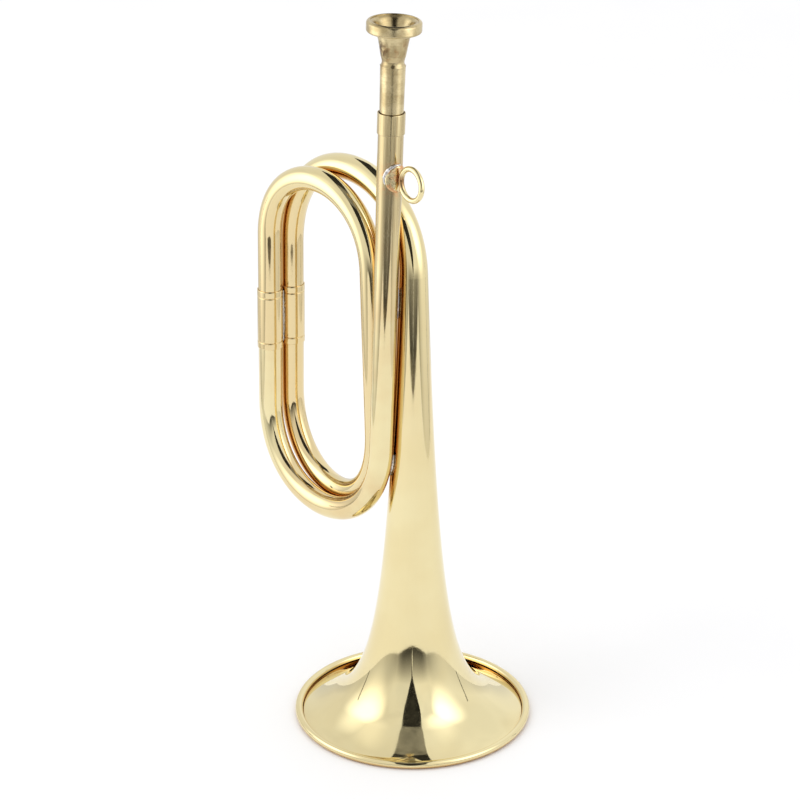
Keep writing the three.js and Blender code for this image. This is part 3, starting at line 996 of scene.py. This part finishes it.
def add_softbox(name, centre, width, height, watts):
    """A rectangular light of the given size in metres, facing the bugle and not reflected in it."""
    data = bpy.data.lights.new(name, "AREA")
    data.shape = "RECTANGLE"
    data.size = width
    data.size_y = height
    data.energy = watts
    box = bpy.data.objects.new(name, data)
    box.location = centre
    aim = AIM_POINT - Vector(centre)
    box.rotation_mode = "QUATERNION"
    box.rotation_quaternion = aim.to_track_quat("-Z", "Y")
    box.visible_camera = False
    box.visible_glossy = False
    bpy.context.scene.collection.objects.link(box)


def add_reflected(name, faces, material):
    """Flat faces, each a list of points in metres, that only reflections see."""
    mesh = bpy.data.meshes.new(name)
    vertices = [point for face in faces for point in face]
    indices = []
    for face in faces:
        first = indices[-1][-1] + 1 if indices else 0
        indices.append(tuple(range(first, first + len(face))))
    mesh.from_pydata(vertices, [], indices)
    mesh.materials.append(material)
    panel = bpy.data.objects.new(name, mesh)
    panel.visible_camera = False
    panel.visible_shadow = False
    panel.visible_diffuse = False
    bpy.context.scene.collection.objects.link(panel)


def glowing(name, colour=(1.0, 1.0, 1.0)):
    """A surface that only glows. Its strength is still to be set."""
    s = Shader(name)
    s.bsdf.inputs["Base Color"].default_value = (0.0, 0.0, 0.0, 1.0)
    s.bsdf.inputs["Specular IOR Level"].default_value = 0.0
    s.bsdf.inputs["Emission Color"].default_value = (*colour, 1.0)
    s.material.cycles.emission_sampling = "NONE"
    return s


# The hot spot that a lamp makes on the cloth, in millimetres: it is full out to HOT_REACH and fades to
# nothing over HOT_FADE more.
HOT_REACH, HOT_FADE = 70.0, 310.0

# The cloth by the foot of the slit is in shade. The shade spreads in the same way, and fades out
# between two heights in metres.
SHADE_REACH, SHADE_FADE = 210.0, 450.0
SHADE_LOW, SHADE_HIGH = 0.01, 0.16
SHADE_LEVEL = 0.10

# All the cloth is a little dimmer down at the floor, below this height in metres.
FOOT_HIGH = 0.12
FOOT_LEVEL = 0.80


def glowing_cloth(name, level, hot_point, hot_extra):
    """White tent cloth lit from outside: a soft hot spot where the lamp stands, dim by the opening."""
    s = glowing(name)
    hot = s.near(hot_point, HOT_REACH, HOT_FADE)
    folds = s.ranged(s.noise(3.0, 2.0), 0.3, 0.7, 0.95, 1.04)
    height = s.above_floor()
    low = s.ranged(height, SHADE_LOW, SHADE_HIGH, 1.0, 0.0, smooth=False)
    by_slit = s.near((0.0, TENT_FRONT / MM, 0.0), SHADE_REACH, SHADE_FADE)
    shade = s.math("MULTIPLY", by_slit, low)
    foot = s.ranged(height, 0.0, FOOT_HIGH, FOOT_LEVEL, 1.0, smooth=False)
    dimmed = s.math("MULTIPLY", foot, s.ranged(shade, 0.0, 1.0, 1.0, SHADE_LEVEL, smooth=False))
    cloth = s.math("MULTIPLY", folds, dimmed)
    glow = s.math("ADD", s.math("MULTIPLY", hot, hot_extra), level)
    s.link(s.math("MULTIPLY", glow, cloth), s.bsdf.inputs["Emission Strength"])
    return s.material


def dim_gap(name, level, colour=(1.0, 0.98, 0.94)):
    """A dim glow, uneven about a level: the room seen through a gap in the tent, the seams, and the painted
    shadow of the hem.
    """
    s = glowing(name, colour)
    uneven = s.ranged(s.noise(9.0, 3.0), 0.3, 0.7, level * 0.6, level * 1.4)
    s.link(uneven, s.bsdf.inputs["Emission Strength"])
    return s.material


# The tent, in metres in the part's frame: how far its walls stand from the middle, and its height.
TENT_SIDE = 0.42
TENT_FRONT = -0.60
TENT_BACK = 0.45
TENT_TOP = 0.62

# The upright seam in each side wall: where it starts, its width and its top.
SEAM_Y = 0.09
SEAM_WIDTH = 0.012
SEAM_TOP = 0.18

# A panel laid on another stands this far off it.
STAND_OFF = 0.001

# The slit in the tent's front: (height, half width).
SLIT = [
    (0.03, 0.008),
    (0.115, 0.014),
    (0.15, 0.04),
    (0.20, 0.07),
    (0.30, 0.11),
    (0.43, 0.15),
    (TENT_TOP, 0.18),
]

# It runs on over the top as a strip: (y, half width), and the brightness of each length.
TOP_SLIT = [(TENT_FRONT, 0.18), (-0.26, 0.11), (0.02, 0.09), (TENT_BACK, 0.07)]
TOP_SLIT_LEVELS = (0.03, 0.22, 0.03)

# The cloth's shadow on the floor below the slit.
HEM = [
    (-0.36, TENT_FRONT + STAND_OFF, STAND_OFF),
    (0.36, TENT_FRONT + STAND_OFF, STAND_OFF),
    (0.0, TENT_FRONT + 0.05, STAND_OFF),
]


def upright(x0, y0, x1, y1, low, high):
    """The four corners of an upright rectangle over a line in plan."""
    return [(x0, y0, low), (x1, y1, low), (x1, y1, high), (x0, y0, high)]


def tent_faces(side):
    """One half of the tent: its front, side wall, back and top. side is -1 or 1."""
    wall = side * TENT_SIDE
    slit = [(side * half, TENT_FRONT, z) for z, half in SLIT]
    front = [(wall, TENT_FRONT, 0.0), (0.0, TENT_FRONT, 0.0), *slit, (wall, TENT_FRONT, TENT_TOP)]
    flank = upright(wall, TENT_FRONT, wall, TENT_BACK, 0.0, TENT_TOP)
    back = upright(wall, TENT_BACK, 0.0, TENT_BACK, 0.0, TENT_TOP)
    edge = [(side * half, y, TENT_TOP) for y, half in TOP_SLIT]
    top = [(wall, TENT_FRONT, TENT_TOP), *edge, (wall, TENT_BACK, TENT_TOP)]
    return [front, flank, back, top]


def seam_faces():
    """One upright seam in each side wall."""
    inside = TENT_SIDE - STAND_OFF
    return [upright(x, SEAM_Y, x, SEAM_Y + SEAM_WIDTH, 0.0, SEAM_TOP) for x in (-inside, inside)]


def slit_face():
    """The slit's face, without the right corner of its foot."""
    left_edge = [(-half, TENT_FRONT, z) for z, half in SLIT]
    right_edge = [(half, TENT_FRONT, z) for z, half in SLIT]
    return left_edge + right_edge[:0:-1]


def strip_between(start, stop):
    """A length of the slit in the tent's top, from one (y, half width) to the next."""
    (y0, half0), (y1, half1) = start, stop
    return [(-half0, y0, TENT_TOP), (half0, y0, TENT_TOP), (half1, y1, TENT_TOP), (-half1, y1, TENT_TOP)]


# Where each lamp's light falls on the cloth, in millimetres.
LEFT_LAMP = (-420.0, -45.0, 340.0)
RIGHT_LAMP = (420.0, -250.0, 440.0)


def add_tent():
    """The white tent round the bugle, with the slit that the camera looks through."""
    left_cloth = glowing_cloth("tent_cloth_left", 0.88, LEFT_LAMP, 1.4)
    right_cloth = glowing_cloth("tent_cloth_right", 0.98, RIGHT_LAMP, 1.5)
    add_reflected("tent_left", tent_faces(-1), left_cloth)
    add_reflected("tent_right", tent_faces(1), right_cloth)
    add_reflected("tent_seams", seam_faces(), dim_gap("tent_seam", 0.10))
    add_reflected("tent_slit", [slit_face()], dim_gap("room_beyond", 0.03))
    add_reflected("tent_hem", [HEM], dim_gap("hem_shadow", 0.16, (1.0, 0.93, 0.8)))
    for number, level in enumerate(TOP_SLIT_LEVELS):
        strip = strip_between(TOP_SLIT[number], TOP_SLIT[number + 1])
        add_reflected(f"tent_top_slit_{number}", [strip], dim_gap(f"ceiling_{number}", level))


ROOM_STRENGTH = 0.97


def add_room():
    """Pale walls all round, a little dimmer overhead."""
    world = bpy.data.worlds.new("room")
    bpy.context.scene.world = world
    world.use_nodes = True
    tree = world.node_tree
    background = tree.nodes["Background"]
    coordinates = tree.nodes.new("ShaderNodeTexCoord")
    parts = tree.nodes.new("ShaderNodeSeparateXYZ")
    ramp = tree.nodes.new("ShaderNodeValToRGB")
    ramp.color_ramp.interpolation = "EASE"
    stops = [(0.0, 1.0), (0.5, 1.0), (1.0, 0.92)]
    while len(ramp.color_ramp.elements) < len(stops):
        ramp.color_ramp.elements.new(0.5)
    for element, (place, grey) in zip(ramp.color_ramp.elements, stops):
        element.position = place
        element.color = (grey, grey, grey * 1.01, 1.0)
    tree.links.new(coordinates.outputs["Generated"], parts.inputs["Vector"])
    tree.links.new(parts.outputs["Z"], ramp.inputs["Fac"])
    tree.links.new(ramp.outputs["Color"], background.inputs["Color"])
    background.inputs["Strength"].default_value = ROOM_STRENGTH


def add_studio():
    """The floor, the room, the tent, and two lights for the floor's soft shadow."""
    add_floor()
    add_room()
    add_tent()
    add_softbox("softbox_left", (-1.6, -0.4, 1.5), 1.2, 1.2, 8.0)
    add_softbox("overhead_fill", (0.0, 0.6, 3.0), 6.0, 6.0, 24.0)


# ---------------------------------------------------------------- the scene

# Colours as they are, without filmic tone mapping.
bpy.context.scene.view_settings.view_transform = "Standard"

add_camera()
make_bell()
make_leadpipe()
make_middle_tube()
make_bell_bow()
make_ferrule("front_ferrule_sleeve", "front_ferrule", "front_left")
make_ferrule("back_ferrule_sleeve", "back_ferrule", "back_left")
make_receiver()
make_mouthpiece()
make_strap_ring()
make_soldered_joints()
add_studio()
